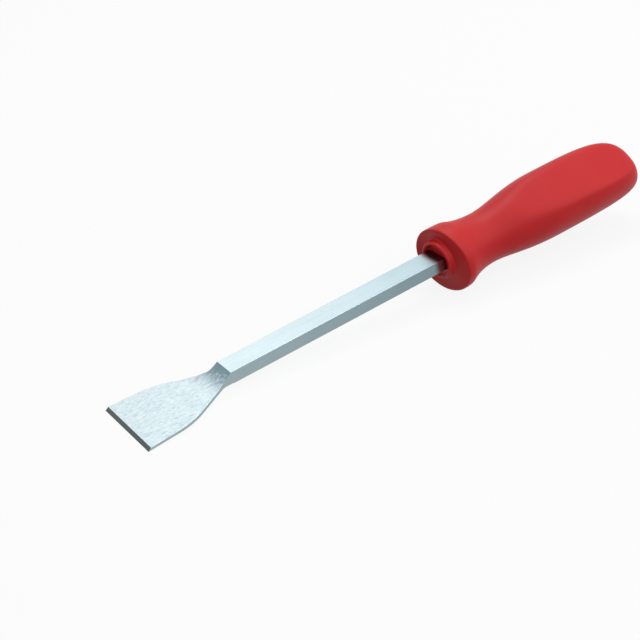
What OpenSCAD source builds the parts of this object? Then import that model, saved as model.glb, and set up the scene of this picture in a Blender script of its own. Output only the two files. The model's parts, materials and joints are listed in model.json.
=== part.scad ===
// Gasket scraper: a forged steel blade on a flat-bar shank, set in a moulded plastic handle.
// It lies as it rests: on the cutting edge and on the underside of the handle's collar.
// Millimetres. The origin is the middle of the cutting edge, +X runs to the butt, +Z is up.

/* [Blade] */
// Width across the cutting edge
blade_w = 22; // [16:0.5:30]
// Length from the cutting edge to the front of the handle
blade_l = 87.2; // [70:0.1:140]
// Thickness at the top of the bevel
edge_t = 0.65; // [0.5:0.05:1.2]
// Length of the bevel that makes the cutting edge
bevel_l = 0.9; // [0.4:0.05:2]
// Slope of the blade's top, in degrees
blade_slope = 0.5; // [0:0.1:1.5]
// Length of the nearly parallel sides behind the cutting edge
side_l = 9; // [6:0.5:14]
// Taper of those sides, in degrees
side_taper = 4.5; // [1:0.5:8]
// Radius of the rounded shoulder where the sides turn in
shoulder_r = 15; // [8:0.5:20]
// Angle of the flare between shoulder and shank, in degrees
flare_a = 30; // [24:1:40]
// Radius of the fillet from flare to shank
flare_fillet_r = 2.5; // [1:0.5:12]
// Depth that the sole is ground above the underside of the shank
sole_cut = 0.12; // [0.05:0.01:0.3]

/* [Shank] */
// Width of the bar
shank_w = 6.46; // [5:0.02:9]
// Height of the bar
shank_h = 3.12; // [2.5:0.02:5]
// Distance from the end of the flare to the cross line where the bar is ground down
grind_gap = 1.9; // [0:0.1:4]
// Radius of the hollow ground between bar and blade, at the near side of the bar
grind_r_near = 7.5; // [7:0.5:12]
// Radius of that hollow at the far side of the bar
grind_r_far = 14.5; // [12:0.5:16]
// Step from the shank in to the tang, on each side
tang_step = 0.5; // [0.3:0.05:0.8]
// Length of the tang in the handle
tang_l = 36; // [25:1:45]

/* [Handle] */
// Length of the handle
handle_l = 62.8; // [58:0.2:110]
// Wall of the raised nose ring at its mouth
nose_wall = 0.8; // [0.7:0.05:2]
// Rounding of the ring's front edge
nose_lip = 0.4; // [0.3:0.05:0.5]
// Length of the nose ring in front of the collar
nose_l = 1.9; // [1.2:0.05:3]
// Step from the nose ring out to the collar
collar_step = 3.7; // [2.5:0.05:6]
// Width of the collar's rim
collar_l = 3.7; // [3.2:0.05:5]
// Rounding of the collar's front edge
collar_round = 0.5; // [0.3:0.05:1]
// How far the nose ring leans forward on one side and back on the other
nose_lean = 0.5; // [0:0.05:0.6]
// How far the front of the collar leans, in the same direction
collar_lean = 1.75; // [0:0.05:2]
// Turn of that lean from the top to the far side, in degrees
lean_turn = 86; // [0:1:180]
// Radius of the neck
neck_r = 6.7; // [6:0.05:9]
// Distance from the nose to the neck
neck_x = 15.8; // [12:0.1:22]
// Radius of the belly
belly_r = 8.75; // [8:0.05:13]
// Length of the rounded butt behind the belly
butt_l = 28.3; // [12:0.1:32]
// Height of the shank's axis above the nose ring's axis
nose_drop = 0; // [0:0.05:0.3]
// Height of the shank's axis above the middle of the collar
collar_drop = 0.9; // [0:0.05:1.5]
// Height of the shank's axis above the middle of the neck
neck_drop = 0.45; // [0:0.05:1.5]
// Height of the shank's axis above the middle of the belly
belly_drop = 0.05; // [0:0.05:1.5]
// How far the end of the butt lies below the middle of the belly
butt_sag = 4.35; // [0:0.05:6]
// Depth of the thumb flat at the belly
flat_depth = 1.75; // [0.2:0.05:2.5]
// Slope of the thumb flat down to the butt, in degrees
flat_slope = 3.4; // [0:0.1:5]
// Turn of the thumb flat from the top to the near side, in degrees
flat_turn = 32; // [0:1:60]
// Depth of the cup round the shank, from its foremost point
cup_l = 2.2; // [1.3:0.1:4]
// Gap between the shank's corners and the floor of the cup
cup_clear = 0.15; // [0.1:0.05:0.5]
// Widening of the cup from its floor to its mouth
cup_flare = 0.45; // [0.3:0.05:1.2]
// Gap between the tang and its socket
tang_clear = 0.05; // [0.02:0.01:0.2]

/* [Hidden] */
// Points round a handle section, steps along a smooth stretch, steps of a small arc
SIDES = 40;
LONG_STEPS = 10;
ARC_STEPS = 4;
// Shape of the neck's fall and the belly's swell; bluntness of the butt, and of the flat's border
NECK_POWER = 2.6;
SWELL_POWER = 0.75;
BUTT_POWER = 4;
FLAT_POWER = 24;
// Sweep of the butt's last ring, in degrees, before it closes
BUTT_SWEEP = 86;
// The sole lies at height zero and the shank's underside a little below it
axis_z = shank_h / 2 - sole_cut;
top_z = shank_h - sole_cut;
shoulder_x = blade_l + cup_l;
// Half outline of the blade: tapered side, shoulder arc, straight flare, fillet
side_y = blade_w / 2 - side_l * tan(side_taper);
arc_end_x = side_l + shoulder_r * (sin(flare_a) - sin(side_taper));
arc_end_y = side_y - shoulder_r * (cos(side_taper) - cos(flare_a));
fillet_y = shank_w / 2 + flare_fillet_r * (1 - cos(flare_a));
fillet_x = arc_end_x + (arc_end_y - fillet_y) / tan(flare_a);
flare_end_x = fillet_x + flare_fillet_r * sin(flare_a);
grind_x = flare_end_x + grind_gap;
// Cross line of the ground hollow, in axes that run along the blade's sloping top
grind_v = (top_z - edge_t) * cos(blade_slope) - grind_x * sin(blade_slope);
grind_u = grind_x * cos(blade_slope) + (top_z - edge_t) * sin(blade_slope);
// Two slices shape the hollow, each this many half widths of the bar from its middle
SLICE_SPAN = 2.5;
SLICE_T = 0.01;
tang_w = shank_w - 2 * tang_step;
tang_h = shank_h - 2 * tang_step;
// Radii at the nose grow outward from the shank's corners
cup_floor_r = sqrt(pow(shank_w, 2) + pow(shank_h, 2)) / 2 + cup_clear;
cup_r = cup_floor_r + cup_flare;
nose_r = cup_r + nose_wall;
nose_fillet = nose_lip;
collar_r = nose_r + collar_step;
// The foremost point of the leaning nose is the front of the handle
nose_x = nose_lean;
face_x = nose_x + nose_l;
rim_end = face_x + collar_l;
belly_x = handle_l - butt_l;
// The tilt that brings the cutting edge and the collar to the floor
contact_x = blade_l + face_x + collar_round + collar_lean * cos(lean_turn);
contact_h = collar_r + collar_drop - axis_z;
rest_tilt = atan2(contact_h, contact_x);

// Lays the tool down on its cutting edge and collar.
module at_rest() {
  rotate([0, -rest_tilt, 0]) children();
}

// Points of an arc from angle a0 to a1.
function arc(cx, cy, r, a0, a1, n) =
  [for (i = [0 : n]) let (a = a0 + (a1 - a0) * i / n) [cx + r * cos(a), cy + r * sin(a)]];

// One half of the blade's outline, from the edge to the shoulder in the handle's cup.
function half_outline() = concat(
  [[0, blade_w / 2]],
  arc(side_l - shoulder_r * sin(side_taper), side_y - shoulder_r * cos(side_taper),
      shoulder_r, 90 - side_taper, 90 - flare_a, 2 * ARC_STEPS),
  arc(flare_end_x, shank_w / 2 + flare_fillet_r,
      flare_fillet_r, 270 - flare_a, 270, 2 * ARC_STEPS),
  [[shoulder_x, shank_w / 2]]);

module blade_plan() {
  half = half_outline();
  last = len(half) - 1;
  polygon(concat(half, [for (i = [last : -1 : 0]) [half[i][0], -half[i][1]]]));
}

// Length of the hollow in front of the cross line, for a wheel of radius r.
function hollow_l(r) = sqrt(pow(r, 2) - pow(r - grind_v, 2));

// Radius of the hollow, and its start, at k half widths of the bar to the far side.
function hollow_r(k) = (grind_r_far * (1 + k) + grind_r_near * (1 - k)) / 2;
function hollow_u(k) =
  grind_u - (hollow_l(grind_r_far) * (1 + k) + hollow_l(grind_r_near) * (1 - k)) / 2;

// What the wheel takes off the top, in side view: the flat of the blade up to u, and the hollow.
module flat_profile(u, h) {
  translate([-blade_w, 0]) square([blade_w + u, h]);
}

module along_top() {
  translate([0, edge_t]) rotate(blade_slope) children();
}

module hollow_slice(k) {
  translate([0, k * shank_w / 2, 0]) rotate([90, 0, 0]) linear_extrude(height = SLICE_T)
    along_top() {
      translate([hollow_u(k), hollow_r(k)]) circle(r = hollow_r(k), $fn = 96);
      flat_profile(hollow_u(k), 2 * hollow_r(k));
    }
}

// What the bevel takes off the front, so that the edge lies in the sole.
module bevel_profile() {
  polygon([[0, 0], [2 * bevel_l, 2 * edge_t], [-bevel_l, 2 * edge_t], [-bevel_l, 0]]);
}

// Runs a side profile across the blade.
module across() {
  translate([0, blade_w, 0]) rotate([90, 0, 0]) linear_extrude(height = 2 * blade_w) children();
}

module blade() {
  color([0.84, 0.9, 0.92]) at_rest() {
    difference() {
      translate([0, 0, -sole_cut]) linear_extrude(height = shank_h) blade_plan();
      across() along_top() flat_profile(hollow_u(SLICE_SPAN), 2 * grind_r_far);
      hull() for (k = [-SLICE_SPAN, SLICE_SPAN]) hollow_slice(k);
      across() bevel_profile();
      translate([-blade_w, -blade_w, -shank_h])
        cube([blade_w + grind_x, 2 * blade_w, shank_h]);
    }
    translate([shoulder_x - tang_step, -tang_w / 2, axis_z - tang_h / 2])
      cube([tang_l + tang_step, tang_w, tang_h]);
  }
}

// A smooth step from 0 to 1.
function smooth(f) = (1 - cos(180 * min(1, max(0, f)))) / 2;

// Stations along the handle: distance from its front, radius, drop below the shank's axis, lean.
function cup_stations() = [
  [cup_l + tang_clear, cup_floor_r, 0, 0],
  [nose_x, cup_r, nose_drop, nose_lean]];
function nose_stations() = [
  for (p = concat(
    arc(nose_x + nose_lip, nose_r - nose_lip, nose_lip, 180, 90, ARC_STEPS),
    arc(face_x - nose_fillet, nose_r + nose_fillet, nose_fillet, 270, 360, ARC_STEPS)))
  [p[0], p[1], nose_drop, nose_lean]];
function collar_stations() = concat(
  [for (p = arc(face_x + collar_round, collar_r - collar_round, collar_round, 180, 90, ARC_STEPS))
   [p[0], p[1], collar_drop, collar_lean]],
  [[rim_end, collar_r, collar_drop, 0]]);
function neck_stations() = [
  for (i = [1 : LONG_STEPS]) let (f = i / LONG_STEPS, fall = pow(1 - f, NECK_POWER))
  [rim_end + (neck_x - rim_end) * f,
   neck_r + (collar_r - neck_r) * fall,
   neck_drop + (collar_drop - neck_drop) * fall, 0]];
function swell_stations() = [
  for (i = [1 : LONG_STEPS]) let (f = i / LONG_STEPS)
  [neck_x + (belly_x - neck_x) * f,
   neck_r + (belly_r - neck_r) * smooth(pow(f, SWELL_POWER)),
   neck_drop + (belly_drop - neck_drop) * smooth(f), 0]];
function butt_stations() = [
  for (i = [1 : LONG_STEPS])
  let (f = sin(BUTT_SWEEP * i / LONG_STEPS), g = pow(1 - pow(f, BUTT_POWER), 1 / BUTT_POWER))
  [belly_x + butt_l * f, belly_r * g, belly_drop + butt_sag * (1 - g), 0]];

// Distance of the thumb flat from the middle of the handle.
function flat_r(s) = belly_r - flat_depth - (s - belly_x) * tan(flat_slope);

// Share of a radius that the thumb flat leaves at an angle from the top.
function flat_factor(a, s, r) =
  pow(1 + pow(max(0, cos(a - flat_turn)) * r / flat_r(s), FLAT_POWER), -1 / FLAT_POWER);

// One closed section of the handle.
function section(st) = [
  for (j = [0 : SIDES - 1])
  let (a = 360 * j / SIDES,
       r = st[1] * flat_factor(a, st[0], st[1]),
       lean = st[3] * cos(a + lean_turn))
  [blade_l + st[0] - lean, -r * sin(a), axis_z - st[2] + r * cos(a)]];

module handle_body() {
  stations = concat(cup_stations(), nose_stations(), collar_stations(), neck_stations(),
                    swell_stations(), butt_stations());
  rows = len(stations);
  pole = rows * SIDES;
  points = concat([for (st = stations) each section(st)],
                  [[blade_l + handle_l, 0, axis_z - belly_drop - butt_sag]]);
  sides = [
    for (i = [0 : rows - 2], j = [0 : SIDES - 1])
    let (k = (j + 1) % SIDES, p = i * SIDES, q = (i + 1) * SIDES)
    each [[p + j, q + j, q + k], [p + j, q + k, p + k]]];
  front = [[for (j = [0 : SIDES - 1]) j]];
  end = [for (j = [0 : SIDES - 1])
    [pole - SIDES + j, pole, pole - SIDES + (j + 1) % SIDES]];
  polyhedron(points = points, faces = concat(front, sides, end), convexity = 6);
}

// The socket for the tang, behind the floor of the cup.
module socket() {
  translate([blade_l + cup_l, -tang_w / 2 - tang_clear, axis_z - tang_h / 2 - tang_clear])
    cube([tang_l + tang_clear, tang_w + 2 * tang_clear, tang_h + 2 * tang_clear]);
}

module handle() {
  color([0.74, 0.18, 0.19]) at_rest() difference() {
    handle_body();
    socket();
  }
}

blade();
handle();
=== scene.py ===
# %% [markdown]
# # Gasket scraper
# A small hand tool for cleaning the faces that a gasket sat on. A bar of steel is forged and
# ground to a wide thin blade at one end, and a red plastic handle is moulded for the other.
# The solids come from the CAD frame, and this lesson dresses them: it models both pieces again
# with finer edges, gives each surface its finish, and sets up a camera and soft studio light.

# %% Load the frame
import json
import math

import bmesh
import bpy
from mathutils import Matrix, Vector


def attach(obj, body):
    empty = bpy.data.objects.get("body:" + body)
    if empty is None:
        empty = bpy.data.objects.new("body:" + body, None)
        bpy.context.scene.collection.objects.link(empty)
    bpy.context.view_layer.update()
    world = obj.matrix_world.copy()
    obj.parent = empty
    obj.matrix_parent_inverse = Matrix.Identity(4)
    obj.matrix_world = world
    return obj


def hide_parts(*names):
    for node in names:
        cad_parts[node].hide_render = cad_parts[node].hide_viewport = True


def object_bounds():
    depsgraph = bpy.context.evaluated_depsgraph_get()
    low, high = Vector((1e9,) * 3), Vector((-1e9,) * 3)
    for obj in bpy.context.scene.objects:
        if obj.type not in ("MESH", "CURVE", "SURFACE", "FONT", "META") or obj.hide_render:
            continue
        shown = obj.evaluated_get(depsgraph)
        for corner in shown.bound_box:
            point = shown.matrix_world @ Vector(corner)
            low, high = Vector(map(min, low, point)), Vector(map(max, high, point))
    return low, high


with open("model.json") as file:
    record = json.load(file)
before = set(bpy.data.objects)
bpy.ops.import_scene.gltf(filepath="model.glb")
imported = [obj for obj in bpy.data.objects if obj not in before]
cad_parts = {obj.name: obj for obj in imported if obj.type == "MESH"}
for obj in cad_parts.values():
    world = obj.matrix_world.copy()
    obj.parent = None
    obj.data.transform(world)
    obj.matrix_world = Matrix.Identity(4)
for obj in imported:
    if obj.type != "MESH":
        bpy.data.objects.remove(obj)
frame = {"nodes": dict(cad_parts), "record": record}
cad_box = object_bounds()
scene = bpy.context.scene
print("nodes:", sorted(frame["nodes"]))

# %% [markdown]
# The sizes below are those of the CAD source, in millimetres, and `MM` turns them to metres.
# Two places closer than `NEAR` count as the same. The tool is modelled along X with its sole at
# height zero. It then tilts by a few degrees, because it lies on its cutting edge and its collar.
# The tilt is read from the frame: the mount at the cutting edge points straight out along the tool.

# %% Sizes
MM, NEAR = 0.001, 0.001
BLADE_W, BLADE_L = 22.0, 87.2
EDGE_T, BEVEL_L, BLADE_SLOPE = 0.65, 0.9, math.radians(0.5)
SIDE_L, SIDE_TAPER = 9.0, math.radians(4.5)
SHOULDER_R, FLARE_A, FLARE_FILLET_R = 15.0, math.radians(30.0), 2.5
SHANK_W, SHANK_H, SOLE_CUT = 6.46, 3.12, 0.12
GRIND_GAP, GRIND_R_NEAR, GRIND_R_FAR = 1.9, 7.5, 14.5
TANG_STEP, TANG_L = 0.5, 36.0
HANDLE_L, BUTT_L = 62.8, 28.3
NOSE_WALL, NOSE_LIP, NOSE_L = 0.8, 0.4, 1.9
COLLAR_STEP, COLLAR_L, COLLAR_ROUND = 3.7, 3.7, 0.5
NOSE_LEAN, COLLAR_LEAN, LEAN_TURN = 0.5, 1.75, math.radians(86.0)
NECK_R, NECK_X, BELLY_R = 6.7, 15.8, 8.75
NOSE_DROP, COLLAR_DROP, NECK_DROP, BELLY_DROP, BUTT_SAG = 0.0, 0.9, 0.45, 0.05, 4.35
FLAT_DEPTH, FLAT_SLOPE, FLAT_TURN = 1.75, math.radians(3.4), math.radians(32.0)
CUP_L, CUP_CLEAR, CUP_FLARE = 2.2, 0.15, 0.45

AXIS_Z = SHANK_H / 2 - SOLE_CUT
TOP_Z = SHANK_H - SOLE_CUT


def tangent(radius, turn):
    """Distance from a corner to where a rounding of that radius begins."""
    return radius * math.tan(turn / 2)


shoulder_run = tangent(SHOULDER_R, FLARE_A - SIDE_TAPER)
corner_x = SIDE_L + shoulder_run * math.cos(SIDE_TAPER)
corner_y = BLADE_W / 2 - corner_x * math.tan(SIDE_TAPER)
flare_x = corner_x + (corner_y - SHANK_W / 2) / math.tan(FLARE_A)
fillet_run = tangent(FLARE_FILLET_R, FLARE_A)
grind_x = flare_x + fillet_run + GRIND_GAP
edge_out = next(m for m in frame["record"]["mounts"] if m["name"] == "cutting_edge")["axis"]
REST_TILT = math.atan2(-edge_out[2], -edge_out[0])
LAY_DOWN = Matrix.Rotation(-REST_TILT, 4, "Y")
print(f"the tool lies {math.degrees(REST_TILT):.2f} degrees off level")

# %% [markdown]
# Three helpers serve every finish. Colours are written as sRGB hex values, as a paint program
# shows them, and Blender's shaders work in linear light, so one function converts them. Another
# adds a node, sets its fields and fills its inputs, either with a value or with a link. The third
# starts a material, with coordinates that are turned back to run along the tool. A Mix node has
# sockets for every kind of data under the same names, so those for colours go by number.

# %% Helpers for materials
FACTOR, FIRST, SECOND, MIXED = 0, 6, 7, 2


def colour(code):
    """An sRGB hex value as linear RGBA."""
    parts = [int(code[i:i + 2], 16) / 255 for i in (1, 3, 5)]
    return [p / 12.92 if p <= 0.04045 else ((p + 0.055) / 1.055) ** 2.4 for p in parts] + [1.0]


def add(tree, kind, fields=None, inputs=None):
    """Adds a node, sets its fields, and fills or links its inputs."""
    made = tree.nodes.new(kind)
    for name, value in (fields or {}).items():
        setattr(made, name, value)
    for name, value in (inputs or {}).items():
        if isinstance(value, bpy.types.NodeSocket):
            tree.links.new(value, made.inputs[name])
        else:
            made.inputs[name].default_value = value
    return made


def new_material(name):
    """A material with an empty tree, its output node, and coordinates that run along the tool."""
    material = bpy.data.materials.new(name)
    material.use_nodes = True
    tree = material.node_tree
    tree.nodes.clear()
    out = add(tree, "ShaderNodeOutputMaterial")
    place = add(tree, "ShaderNodeTexCoord").outputs["Object"]
    along = add(tree, "ShaderNodeMapping", None, {
        "Vector": place, "Rotation": (0, REST_TILT, 0)}).outputs["Vector"]
    return material, tree, out, along


print("helpers ready; mid grey is", [round(c, 3) for c in colour("#808080")])

# %% [markdown]
# The bar is cold drawn steel. Drawing leaves faint straight lines along its length, so a noise
# is stretched a long way in X and kept narrow in Y and Z. Such lines are usually a few hundredths
# of a millimetre apart, too fine for the picture, and are drawn 0.35 mm apart here. The top and
# the underside are bright, and the sides take a darker copy of the same steel, which is painted
# shade for faces turned away from the light. Towards the handle the steel is painted a little
# darker as shade, and at the handle's mouth the bar goes dark red, which is painted shade with a
# painted reflection of the red handle.

# %% Drawn steel, bright and with painted shade
DRAW_LINE, DRAW_RUN, CLOUD = 0.35 * MM, 14 * MM, 9 * MM
MOUTH_RUN, MOUTH_RAG = 2.0 * MM, 0.8 * MM
HANDLE_SHADE_DEPTH = 0.9


def drawn_bar(name, dark, light, smoothest, roughest):
    """Drawn steel between two tones and two roughnesses."""
    material, tree, out, along = new_material(name)
    stretched = add(tree, "ShaderNodeMapping", None, {
        "Vector": along, "Scale": (1 / DRAW_RUN, 1 / DRAW_LINE, 1 / DRAW_LINE)})
    lines = add(tree, "ShaderNodeTexNoise", None, {
        "Vector": stretched.outputs["Vector"], "Scale": 1.0, "Detail": 3.0, "Roughness": 0.6})
    cloud = add(tree, "ShaderNodeTexNoise", None, {
        "Vector": along, "Scale": 1 / CLOUD, "Detail": 2.0})
    tone = add(tree, "ShaderNodeMix", {"data_type": "RGBA"}, {
        FACTOR: lines.outputs["Fac"], FIRST: colour(dark), SECOND: colour(light)})
    tint = add(tree, "ShaderNodeMix", {"data_type": "RGBA", "blend_type": "MULTIPLY"}, {
        FACTOR: cloud.outputs["Fac"], FIRST: tone.outputs[MIXED], SECOND: colour("#EEF4F5")})
    gloss = add(tree, "ShaderNodeMapRange", None, {
        "Value": lines.outputs["Fac"], "To Min": smoothest, "To Max": roughest})
    bump = add(tree, "ShaderNodeBump", None, {
        "Height": lines.outputs["Fac"], "Strength": 0.12, "Distance": 0.02 * MM})
    from_edge = add(tree, "ShaderNodeSeparateXYZ", None, {"Vector": along}).outputs["X"]
    # painted shade: the steel darkens towards the handle
    handle_shade = add(tree, "ShaderNodeMapRange", None, {
        "Value": from_edge, "From Min": grind_x * MM, "From Max": BLADE_L * MM, "To Max": HANDLE_SHADE_DEPTH})
    handle_shaded = add(tree, "ShaderNodeMix", {"data_type": "RGBA", "blend_type": "MULTIPLY"}, {
        FACTOR: handle_shade.outputs["Result"], FIRST: tint.outputs[MIXED], SECOND: colour("#D0D9DE")})
    # painted shade with a painted reflection of the red handle: the bar turns dark red at the
    # handle's mouth
    ragged = add(tree, "ShaderNodeMath", {"operation": "MULTIPLY_ADD"}, {
        0: lines.outputs["Fac"], 1: MOUTH_RAG, 2: from_edge})
    mouth = add(tree, "ShaderNodeMapRange", {"interpolation_type": "SMOOTHSTEP"}, {
        "Value": ragged.outputs[0],
        "From Min": BLADE_L * MM - MOUTH_RUN, "From Max": BLADE_L * MM})
    mouth_shaded = add(tree, "ShaderNodeMix", {"data_type": "RGBA"}, {
        FACTOR: mouth.outputs["Result"], FIRST: handle_shaded.outputs[MIXED], SECOND: colour("#5E282C")})
    shader = add(tree, "ShaderNodeBsdfPrincipled", None, {
        "Base Color": mouth_shaded.outputs[MIXED], "Metallic": 1.0, "Roughness": gloss.outputs["Result"],
        "Normal": bump.outputs["Normal"]})
    tree.links.new(shader.outputs[0], out.inputs["Surface"])
    return material


drawn_steel = drawn_bar("drawn_bright_steel", "#D4E4E8", "#E2EFF2", 0.30, 0.42)
# the sides' copy of the drawn steel is darker, as painted shade for faces turned from the light
side_shade_steel = drawn_bar("drawn_steel_painted_shade", "#98A8AC", "#A8B8BC", 0.42, 0.55)
print("made", drawn_steel.name, "and", side_shade_steel.name)

# %% [markdown]
# The top of the blade and the hollow behind it are ground. The wheel runs along the tool and
# leaves short bright scratches with darker nicks between them, and the thin blade takes the wheel
# unevenly, which shows as a mottled sheen about a millimetre across. In the hollow, close to the
# sharp line across the bar, the steel is painted darker, in streaks that fade towards the blade:
# painted shade for the darker surroundings that the steep part of the hollow reflects. The
# scratches of a wheel are usually finer than 0.1 mm and are drawn coarser, so that they show.

# %% Ground steel
SCRATCH, SCRATCH_RUN, MOTTLE = 0.3 * MM, 3.5 * MM, 1.0 * MM
NICK, NICK_RUN = 0.3 * MM, 1.5 * MM
STREAK, STREAK_RUN, STREAK_RAG = 0.4 * MM, 9 * MM, 8 * MM
HOLLOW_SHADE_RUN, HOLLOW_SHADE_SKEW = 7.5 * MM, 0.2
hollow_shade_end = grind_x * MM + STREAK_RAG / 2
ground_steel, tree, out, along = new_material("ground_steel")
stretched = add(tree, "ShaderNodeMapping", None, {
    "Vector": along, "Scale": (1 / SCRATCH_RUN, 1 / SCRATCH, 1 / SCRATCH)})
scratches = add(tree, "ShaderNodeTexNoise", None, {
    "Vector": stretched.outputs["Vector"], "Scale": 1.0, "Detail": 4.0, "Roughness": 0.65})
mottle = add(tree, "ShaderNodeTexNoise", None, {
    "Vector": along, "Scale": 1 / MOTTLE, "Detail": 3.0, "Roughness": 0.6})
tone = add(tree, "ShaderNodeMix", {"data_type": "RGBA"}, {
    FACTOR: scratches.outputs["Fac"], FIRST: colour("#C6D8DE"), SECOND: colour("#F0F8FA")})
patches = add(tree, "ShaderNodeMapRange", None, {
    "Value": mottle.outputs["Fac"], "From Min": 0.35, "From Max": 0.65, "To Max": 0.9})
tint = add(tree, "ShaderNodeMix", {"data_type": "RGBA", "blend_type": "MULTIPLY"}, {
    FACTOR: patches.outputs["Result"], FIRST: tone.outputs[MIXED], SECOND: colour("#E0EAED")})
stretched = add(tree, "ShaderNodeMapping", None, {
    "Vector": along, "Scale": (1 / NICK_RUN, 1 / NICK, 1 / NICK)})
nicks = add(tree, "ShaderNodeTexNoise", None, {
    "Vector": stretched.outputs["Vector"], "Scale": 1.0, "Detail": 2.0, "Roughness": 0.5})
nicked = add(tree, "ShaderNodeMapRange", None, {
    "Value": nicks.outputs["Fac"], "From Min": 0.56, "From Max": 0.74, "To Max": 0.75})
tint = add(tree, "ShaderNodeMix", {"data_type": "RGBA", "blend_type": "MULTIPLY"}, {
    FACTOR: nicked.outputs["Result"], FIRST: tint.outputs[MIXED], SECOND: colour("#B4C2C8")})
stretched = add(tree, "ShaderNodeMapping", None, {
    "Vector": along, "Scale": (1 / STREAK_RUN, 1 / STREAK, 1 / STREAK)})
streaks = add(tree, "ShaderNodeTexNoise", None, {
    "Vector": stretched.outputs["Vector"], "Scale": 1.0, "Detail": 2.0, "Roughness": 0.6})
place = add(tree, "ShaderNodeSeparateXYZ", None, {"Vector": along})
skewed = add(tree, "ShaderNodeMath", {"operation": "MULTIPLY_ADD"}, {
    0: place.outputs["Y"], 1: HOLLOW_SHADE_SKEW, 2: place.outputs["X"]})
ragged = add(tree, "ShaderNodeMath", {"operation": "MULTIPLY_ADD"}, {
    0: streaks.outputs["Fac"], 1: STREAK_RAG, 2: skewed.outputs[0]})
# painted shade: the hollow darkens towards the cross line
hollow_shade = add(tree, "ShaderNodeMapRange", {"interpolation_type": "SMOOTHSTEP"}, {
    "Value": ragged.outputs[0], "From Min": hollow_shade_end - HOLLOW_SHADE_RUN, "From Max": hollow_shade_end})
tint = add(tree, "ShaderNodeMix", {"data_type": "RGBA"}, {
    FACTOR: hollow_shade.outputs["Result"], FIRST: tint.outputs[MIXED], SECOND: colour("#768E98")})
gloss = add(tree, "ShaderNodeMapRange", None, {
    "Value": mottle.outputs["Fac"], "To Min": 0.26, "To Max": 0.5})
bump = add(tree, "ShaderNodeBump", None, {
    "Height": scratches.outputs["Fac"], "Strength": 0.25, "Distance": 0.03 * MM})
shader = add(tree, "ShaderNodeBsdfPrincipled", None, {
    "Base Color": tint.outputs[MIXED], "Metallic": 1.0, "Roughness": gloss.outputs["Result"],
    "Normal": bump.outputs["Normal"]})
tree.links.new(shader.outputs[0], out.inputs["Surface"])
print("made", ground_steel.name)

# %% [markdown]
# The bevel's steel is given a dark colour beside the bright blade, which is painted shade for a
# face that looks forward, away from the light. Fine lines cross it at a right angle to the edge.

# %% Edge steel with painted shade
EDGE_LINE = 0.25 * MM
edge_steel, tree, out, along = new_material("edge_steel_painted_shade")
stretched = add(tree, "ShaderNodeMapping", None, {
    "Vector": along, "Scale": (1 / SCRATCH_RUN, 1 / EDGE_LINE, 1 / SCRATCH_RUN)})
lines = add(tree, "ShaderNodeTexNoise", None, {
    "Vector": stretched.outputs["Vector"], "Scale": 1.0, "Detail": 3.0})
# painted shade: the bevel's steel is kept dark
tone = add(tree, "ShaderNodeMix", {"data_type": "RGBA"}, {
    FACTOR: lines.outputs["Fac"], FIRST: colour("#4E5354"), SECOND: colour("#666C6C")})
shader = add(tree, "ShaderNodeBsdfPrincipled", None, {
    "Base Color": tone.outputs[MIXED], "Metallic": 1.0, "Roughness": 0.45})
tree.links.new(shader.outputs[0], out.inputs["Surface"])
print("made", edge_steel.name)

# %% [markdown]
# The handle is moulded in red plastic, polypropylene or the like. Its surface is satin with a
# faint texture from the mould, a little uneven in gloss where hands have rubbed it, and the colour
# varies very slightly as pigment does. A mould's grain is usually finer than the 0.35 mm drawn here.

# %% Moulded red plastic
MOULD_GRAIN, RUB, PIGMENT = 0.35 * MM, 7 * MM, 16 * MM
red_plastic, tree, out, along = new_material("moulded_red_plastic")
grain = add(tree, "ShaderNodeTexNoise", None, {
    "Vector": along, "Scale": 1 / MOULD_GRAIN, "Detail": 2.0})
rub = add(tree, "ShaderNodeTexNoise", None, {"Vector": along, "Scale": 1 / RUB, "Detail": 3.0})
pigment = add(tree, "ShaderNodeTexNoise", None, {
    "Vector": along, "Scale": 1 / PIGMENT, "Detail": 2.0})
tone = add(tree, "ShaderNodeMix", {"data_type": "RGBA"}, {
    FACTOR: pigment.outputs["Fac"], FIRST: colour("#C2181C"), SECOND: colour("#CC1C20")})
gloss = add(tree, "ShaderNodeMapRange", None, {
    "Value": rub.outputs["Fac"], "To Min": 0.4, "To Max": 0.55})
bump = add(tree, "ShaderNodeBump", None, {
    "Height": grain.outputs["Fac"], "Strength": 0.10, "Distance": 0.02 * MM})
shader = add(tree, "ShaderNodeBsdfPrincipled", None, {
    "Base Color": tone.outputs[MIXED], "Roughness": gloss.outputs["Result"], "IOR": 1.49,
    "Specular IOR Level": 0.3, "Normal": bump.outputs["Normal"]})
tree.links.new(shader.outputs[0], out.inputs["Surface"])
print("made", red_plastic.name)

# %% [markdown]
# Both pieces end in the same way: the mesh tilts to its rest, is written to an object at the
# origin, rides on the tool's one body, and takes the place of its CAD solid.

# %% Helper that finishes a piece
def finish_piece(bm, name, node, materials):
    """Lays the mesh down and makes it the piece that stands for a CAD node."""
    bm.transform(LAY_DOWN)
    for face in bm.faces:
        face.smooth = True
    mesh = bpy.data.meshes.new(name)
    bm.to_mesh(mesh)
    bm.free()
    for material in materials:
        mesh.materials.append(material)
    piece = bpy.data.objects.new(name, mesh)
    scene.collection.objects.link(piece)
    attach(piece, "root")
    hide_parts(node)
    return piece


print("finish_piece ready")

# %% [markdown]
# ## The blade
# In plan the blade is an outline of eight corners. Extruding it gives a flat prism, and bevelling
# the upright edges at the shoulders and at the shank turns those corners into true arcs. The
# bevel's offset is the length of the tangent, so each arc gets the radius that the CAD has.

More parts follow.
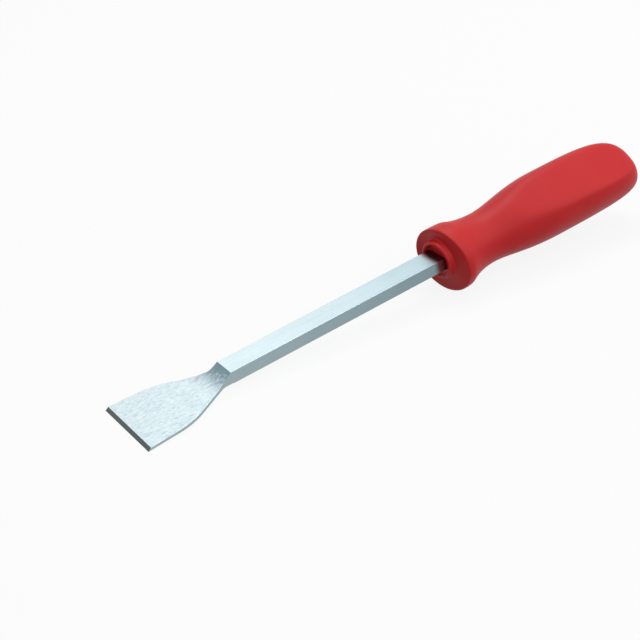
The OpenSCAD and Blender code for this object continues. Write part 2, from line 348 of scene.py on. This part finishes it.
# %% Blade outline
CORNER_SEGMENTS = 12
half = [(0, BLADE_W / 2), (corner_x, corner_y),
        (flare_x, SHANK_W / 2), (BLADE_L + CUP_L, SHANK_W / 2)]
bm = bmesh.new()
ring = [bm.verts.new((x * MM, y * MM, -SOLE_CUT * MM)) for x, y in half]
ring += [bm.verts.new((x * MM, -y * MM, -SOLE_CUT * MM)) for x, y in reversed(half)]
floor_face = bm.faces.new(ring)
raised = bmesh.ops.extrude_face_region(bm, geom=[floor_face])["geom"]
bmesh.ops.translate(bm, vec=(0, 0, SHANK_H * MM),
                    verts=[g for g in raised if isinstance(g, bmesh.types.BMVert)])
bmesh.ops.recalc_face_normals(bm, faces=bm.faces)


def upright_edges(bm, x):
    """The upright edges of the prism at a distance from the cutting edge."""
    return [e for e in bm.edges
            if all(abs(v.co.x - x * MM) < NEAR * MM for v in e.verts)
            and abs(e.verts[0].co.z - e.verts[1].co.z) > MM]


for x, run in ((corner_x, shoulder_run), (flare_x, fillet_run)):
    bmesh.ops.bevel(bm, geom=upright_edges(bm, x), offset=run * MM, offset_type="OFFSET",
                    affect="EDGES", segments=CORNER_SEGMENTS, profile=0.5, material=-1)
print("outline:", len(bm.faces), "faces; the grind starts", round(grind_x, 2), "mm from the edge")

# %% [markdown]
# The wheel lowers the top in a hollow that starts at a sharp line across the bar and runs out into
# the flat of the blade, further on the far side than on the near one. Cuts across the prism give
# the top enough rows to follow that curve, and each row then drops to the height that the wheel
# leaves. The front row also slides back, which makes the bevel. Underneath, the sole is ground a
# little into the bar.

# %% Ground top, bevel and sole
HOLLOW_ROWS, HOLLOW_SPAN = 24, 2.5
FRONT_ROWS = [BEVEL_L * 2, 4.0, 8.0]
rise = (TOP_Z - EDGE_T) * math.cos(BLADE_SLOPE) - grind_x * math.sin(BLADE_SLOPE)


def hollow_run(radius):
    """Length of the hollow in front of the cross line, for a wheel of that radius."""
    return math.sqrt(radius ** 2 - (radius - rise) ** 2)


def across_bar(far, near, y):
    """A value at y, worked out from those at the far and near side of the bar."""
    k = y / (SHANK_W / 2)
    return (far * (1 + k) + near * (1 - k)) / 2


def ground_height(x, y):
    """Height of the blade's top at a distance from the edge and from the middle."""
    flat = EDGE_T + x * math.tan(BLADE_SLOPE)
    radius = across_bar(GRIND_R_FAR, GRIND_R_NEAR, y)
    start = grind_x - across_bar(hollow_run(GRIND_R_FAR), hollow_run(GRIND_R_NEAR), y)
    if x <= start:
        return flat
    if x >= grind_x - NEAR:
        return TOP_Z
    return min(TOP_Z, flat + radius - math.sqrt(max(0.0, radius ** 2 - (x - start) ** 2)))


reach = across_bar(hollow_run(GRIND_R_FAR), hollow_run(GRIND_R_NEAR),
                   HOLLOW_SPAN * SHANK_W / 2)
hollow_x = grind_x - reach
rows = [hollow_x + reach * i / HOLLOW_ROWS for i in range(HOLLOW_ROWS + 1)]
rows += FRONT_ROWS + [grind_x + SOLE_CUT]
for x in rows:
    bmesh.ops.bisect_plane(bm, geom=bm.verts[:] + bm.edges[:] + bm.faces[:], dist=NEAR * MM / 10,
                           plane_co=(x * MM, 0, 0), plane_no=(1, 0, 0))
for vert in bm.verts:
    x = vert.co.x / MM
    if vert.co.z > 0:
        vert.co.z = ground_height(x, vert.co.y / MM) * MM
        if x < NEAR:
            vert.co.x = BEVEL_L * MM
            vert.co.y -= math.copysign(BEVEL_L * math.tan(SIDE_TAPER) * MM, vert.co.y)
    elif x <= grind_x + NEAR:
        vert.co.z = 0.0
print("hollow from", round(hollow_x, 2), "to", round(grind_x, 2), "mm; blade there",
      round(ground_height(hollow_x, 0), 2), "mm thick")

# %% [markdown]
# The tang is the bar's end set in by half a millimetre all round, and it sits inside the handle.
# Faces get their finish by where they look: the front bevel is the edge steel with painted shade,
# what the wheel touched is ground steel, and the rest is the drawn bar, with its sides in the
# darker copy that is painted shade. How far a normal has to point one way for that is set by three
# limits. A fine live bevel breaks every sharp corner, so that the edges catch the light as real
# ones do.

# %% Tang, finishes and edges
BREAK, BREAK_ANGLE = 0.09 * MM, math.radians(24)
# the last finish index is for the sides, whose steel carries painted shade
DRAWN, GROUND, EDGE, SIDE_SHADE = 0, 1, 2, 3
TURNED, LEVEL, SQUARE = 0.3, 0.5, 0.9
end = [f for f in bm.faces if f.normal.x > SQUARE and f.calc_center_median().x > BLADE_L * MM]
bmesh.ops.inset_region(bm, faces=end, thickness=TANG_STEP * MM, use_even_offset=True)
tang = bmesh.ops.extrude_discrete_faces(bm, faces=end)["faces"]
bmesh.ops.translate(bm, vec=(TANG_L * MM, 0, 0), verts=[v for f in tang for v in f.verts])
bm.normal_update()
for face in bm.faces:
    middle = face.calc_center_median()
    if face.normal.x < -TURNED and middle.x < BEVEL_L * MM:
        face.material_index = EDGE
    elif face.normal.z > TURNED and middle.x < grind_x * MM:
        face.material_index = GROUND
    elif abs(face.normal.z) > LEVEL:
        face.material_index = DRAWN
    else:
        face.material_index = SIDE_SHADE
blade = finish_piece(bm, "blade_shell", "blade",
                     [drawn_steel, ground_steel, edge_steel, side_shade_steel])
broken = blade.modifiers.new("broken_edges", "BEVEL")
broken.width, broken.segments = BREAK, 2
broken.limit_method, broken.angle_limit = "ANGLE", BREAK_ANGLE
broken.harden_normals = True
print("blade:", len(blade.data.polygons), "faces")

# %% [markdown]
# ## The handle
# The handle is nearly round, so its side view is drawn once and spun about the shank's axis. The
# side view starts on the floor of the cup, comes out over the lip of the nose ring, steps up to
# the collar, falls to the neck, swells to the belly and closes at the butt. Only few points are
# needed, because a subdivision surface rounds what lies between them. Each point also carries how
# far it lies below the shank's axis and how far it leans. The cup of the CAD is deeper than the
# mouth looks, so its floor is raised here by `SKIN_T`, as if plastic had closed round the bar.

# %% Side view of the handle
ARC_STEPS, LONG_STEPS = 4, 10
NECK_POWER, SWELL_POWER, BUTT_POWER = 2.6, 0.75, 4
LIP_BREAK, SKIN_T, FLOOR_LOOP = 0.15, 0.8, 0.8
cup_floor_r = math.hypot(SHANK_W, SHANK_H) / 2 + CUP_CLEAR
cup_r = cup_floor_r + CUP_FLARE
nose_r = cup_r + NOSE_WALL
collar_r = nose_r + COLLAR_STEP
skin_x = CUP_L - SKIN_T
face_x = NOSE_LEAN + NOSE_L
rim_end = face_x + COLLAR_L
belly_x = HANDLE_L - BUTT_L


def arc(cx, cy, radius, start, stop):
    """Points of a small arc, angles in degrees."""
    turns = [math.radians(start + (stop - start) * i / ARC_STEPS) for i in range(ARC_STEPS + 1)]
    return [(cx + radius * math.cos(t), cy + radius * math.sin(t)) for t in turns]


def smooth(f):
    """A smooth step from 0 to 1."""
    return (1 - math.cos(math.pi * min(1, max(0, f)))) / 2


def offset(points, drop, lean):
    """Gives points of the side view a drop below the shank and a lean."""
    return [(s, r, drop, lean) for s, r in points]


steps = [(i + 1) / LONG_STEPS for i in range(LONG_STEPS)]
side = offset([(skin_x, 0.0), (skin_x, cup_floor_r * FLOOR_LOOP), (skin_x, cup_floor_r)], 0.0, 0.0)
side += offset([((skin_x + NOSE_LEAN) / 2, (cup_floor_r + cup_r) / 2)],
               NOSE_DROP / 2, NOSE_LEAN / 2)
ring_view = [(NOSE_LEAN + LIP_BREAK, cup_r), (NOSE_LEAN, cup_r + LIP_BREAK)]
ring_view += arc(NOSE_LEAN + NOSE_LIP, nose_r - NOSE_LIP, NOSE_LIP, 180, 90)
ring_view += arc(face_x - NOSE_LIP, nose_r + NOSE_LIP, NOSE_LIP, 270, 360)
side += offset(ring_view, NOSE_DROP, NOSE_LEAN)
collar_front = arc(face_x + COLLAR_ROUND, collar_r - COLLAR_ROUND, COLLAR_ROUND, 180, 90)
side += offset(collar_front, COLLAR_DROP, COLLAR_LEAN)
side += offset([(rim_end, collar_r)], COLLAR_DROP, 0.0)
for f in steps:
    fall = (1 - f) ** NECK_POWER
    side.append((rim_end + (NECK_X - rim_end) * f, NECK_R + (collar_r - NECK_R) * fall,
                 NECK_DROP + (COLLAR_DROP - NECK_DROP) * fall, 0.0))
for f in steps:
    side.append((NECK_X + (belly_x - NECK_X) * f,
                 NECK_R + (BELLY_R - NECK_R) * smooth(f ** SWELL_POWER),
                 NECK_DROP + (BELLY_DROP - NECK_DROP) * smooth(f), 0.0))
for f in steps:
    sweep = math.sin(math.pi / 2 * f)
    left = max(0.0, 1 - sweep ** BUTT_POWER) ** (1 / BUTT_POWER)
    side.append((belly_x + BUTT_L * sweep, BELLY_R * left,
                 BELLY_DROP + BUTT_SAG * (1 - left), 0.0))
print("side view:", len(side), "points")

# %% [markdown]
# After the spin, three soft changes make the round form into the real one. The collar and neck sit
# a little below the shank, and the end of the butt sinks. The nose ring and the front of the
# collar lean, forward on the far side. Both are kept with each vertex, in layers that the spin
# copies round. A thumb flat is pressed in beside the top: where a point lies in front of the
# flat's plane it moves back, with a rounded crease at the flat's border.

# %% Spin, drop, lean and thumb flat
SPIN_STEPS, FLAT_POWER = 96, 24


def flat_factor(angle, s, r):
    """Share of the radius that the thumb flat leaves."""
    flat_r = BELLY_R - FLAT_DEPTH - (s - belly_x) * math.tan(FLAT_SLOPE)
    ahead = max(0.0, math.cos(angle - FLAT_TURN)) * r / flat_r
    return (1 + ahead ** FLAT_POWER) ** (-1 / FLAT_POWER)


bm = bmesh.new()
drops = bm.verts.layers.float.new("drop")
leans = bm.verts.layers.float.new("lean")
chain = []
for s, r, drop, lean in side:
    chain.append(bm.verts.new((s * MM, 0, r * MM)))
    chain[-1][drops], chain[-1][leans] = drop, lean
wire = [bm.edges.new(pair) for pair in zip(chain, chain[1:])]
bmesh.ops.spin(bm, geom=chain + wire, cent=(0, 0, 0), axis=(1, 0, 0), dvec=(0, 0, 0),
               angle=math.tau, steps=SPIN_STEPS, use_merge=True)
bmesh.ops.remove_doubles(bm, verts=bm.verts, dist=NEAR * MM)
for vert in bm.verts:
    s, r = vert.co.x / MM, math.hypot(vert.co.y, vert.co.z) / MM
    angle = math.atan2(-vert.co.y, vert.co.z)
    scale = flat_factor(angle, s, r)
    vert.co.x -= vert[leans] * math.cos(angle + LEAN_TURN) * MM
    vert.co.y *= scale
    vert.co.z = vert.co.z * scale + (AXIS_Z - vert[drops]) * MM
    vert.co.x += BLADE_L * MM
bmesh.ops.recalc_face_normals(bm, faces=bm.faces)
handle = finish_piece(bm, "handle_shell", "handle", [red_plastic])
rounding = handle.modifiers.new("rounding", "SUBSURF")
rounding.levels = rounding.render_levels = 1
print("handle:", len(handle.data.polygons), "faces before rounding")

# %% [markdown]
# ## Camera
# The picture was taken from above the near side, close up with a moderate tele lens and tilted a
# little. The view is given in the tool's own axes, as seen by someone who looks down on the blade,
# and then tilts with the tool.

# %% Camera
VIEW_AZIMUTH, VIEW_ELEVATION = math.radians(25.737), math.radians(32.532)
VIEW_ROLL = math.radians(13.418)
VIEW_POINT = Vector((57.26, 7.97, -3.66)) * MM
VIEW_DISTANCE, VIEW_LENS = 380.0 * MM, 87.83
turn = (Matrix.Rotation(-VIEW_AZIMUTH, 4, "Z")
        @ Matrix.Rotation(math.pi / 2 - VIEW_ELEVATION, 4, "X")
        @ Matrix.Rotation(-VIEW_ROLL, 4, "Z"))
eye = VIEW_POINT + turn.to_3x3() @ Vector((0, 0, VIEW_DISTANCE))
lens = bpy.data.cameras.new("studio_camera")
lens.sensor_fit, lens.sensor_width, lens.lens = "HORIZONTAL", 36.0, VIEW_LENS
lens.clip_start, lens.clip_end = 0.01, 20.0
camera = bpy.data.objects.new("studio_camera", lens)
scene.collection.objects.link(camera)
camera.matrix_world = LAY_DOWN @ Matrix.Translation(eye) @ turn
scene.camera = camera
print("camera at", [round(c, 3) for c in camera.matrix_world.translation])

# %% [markdown]
# ## Floor and light
# The tool lies on a pale sweep in a bright studio. The floor is a plain plane, a hair below the
# tool. To the camera, and in reflections, it shows close to white, and it keeps the soft shadow
# under the tool. To all other light it is a mid grey, so that it doesn't throw too much back up.
# The Light Path node tells the two apart, and the world needs the same test further on.

# %% Floor
FLOOR_SIZE, FLOOR_WHITE, FLOOR_GAP = 4.0, 0.88, 0.02 * MM


def seen_directly(tree):
    """One for the rays of the camera, of reflections and of glass, and zero for all others."""
    ray = add(tree, "ShaderNodeLightPath")
    seen = add(tree, "ShaderNodeMath", {"operation": "MAXIMUM"}, {
        0: ray.outputs["Is Camera Ray"], 1: ray.outputs["Is Glossy Ray"]})
    return add(tree, "ShaderNodeMath", {"operation": "MAXIMUM"}, {
        0: seen.outputs[0], 1: ray.outputs["Is Transmission Ray"]}).outputs[0]


bm = bmesh.new()
bmesh.ops.create_grid(bm, x_segments=2, y_segments=2, size=FLOOR_SIZE / 2)
bmesh.ops.translate(bm, vec=(0, 0, cad_box[0][2] - FLOOR_GAP), verts=bm.verts)
mesh = bpy.data.meshes.new("studio_floor")
bm.to_mesh(mesh)
bm.free()
floor = bpy.data.objects.new("studio_floor", mesh)
scene.collection.objects.link(floor)
pale, tree, out, _ = new_material("pale_floor")
white = add(tree, "ShaderNodeEmission", None, {"Color": colour("#FFFFFF"), "Strength": 1.0})
seen = seen_directly(tree)
paint = add(tree, "ShaderNodeMix", {"data_type": "RGBA"}, {
    FACTOR: seen, FIRST: colour("#959595"), SECOND: colour("#F2F2F2")})
matte = add(tree, "ShaderNodeBsdfDiffuse", None, {"Color": paint.outputs[MIXED]})
share = add(tree, "ShaderNodeMath", {"operation": "MULTIPLY"}, {0: seen, 1: FLOOR_WHITE})
floor_mix = add(tree, "ShaderNodeMixShader", None, {
    0: share.outputs[0], 1: matte.outputs[0], 2: white.outputs[0]})
tree.links.new(floor_mix.outputs[0], out.inputs["Surface"])
mesh.materials.append(pale)
print("floor at height", round(cad_box[0][2] / MM, 3), "mm")

# %% [markdown]
# Two square area lamps stand in for softboxes. A large one on the near side, to the right, is the
# main light, and a smaller one above the far side gives the sheen along the handle. The world
# gives an even pale surround: white where it is seen or reflected, and weaker where it only
# lights the tool, so that no colour washes out.

# %% Lamps and world
TOOL_MIDDLE = Vector((75 * MM, 0, 0))
SURROUND_LIGHT, SURROUND_SEEN = 0.36, 1.0


def soft_lamp(name, spot, size, power):
    """A square area lamp that looks at the middle of the tool."""
    data = bpy.data.lights.new(name, "AREA")
    data.shape, data.size, data.energy = "SQUARE", size, power
    lamp = bpy.data.objects.new(name, data)
    scene.collection.objects.link(lamp)
    lamp.location = spot
    lamp.rotation_euler = (TOOL_MIDDLE - Vector(spot)).to_track_quat("-Z", "Y").to_euler()


soft_lamp("near_softbox", spot=(0.42, -0.5, 0.52), size=1.05, power=4.2)
soft_lamp("overhead_softbox", spot=(0.28, 0.22, 0.7), size=0.36, power=1.8)
world = bpy.data.worlds.new("studio_surround")
scene.world = world
world.use_nodes = True
tree = world.node_tree
tree.nodes.clear()
seen = seen_directly(tree)
dim = add(tree, "ShaderNodeBackground", None, {
    "Color": colour("#FFFFFF"), "Strength": SURROUND_LIGHT})
bright = add(tree, "ShaderNodeBackground", None, {
    "Color": colour("#FFFFFF"), "Strength": SURROUND_SEEN})
mixed = add(tree, "ShaderNodeMixShader", None, {
    0: seen, 1: dim.outputs[0], 2: bright.outputs[0]})
tree.links.new(mixed.outputs[0], add(tree, "ShaderNodeOutputWorld").inputs["Surface"])
scene.view_settings.view_transform = "Standard"
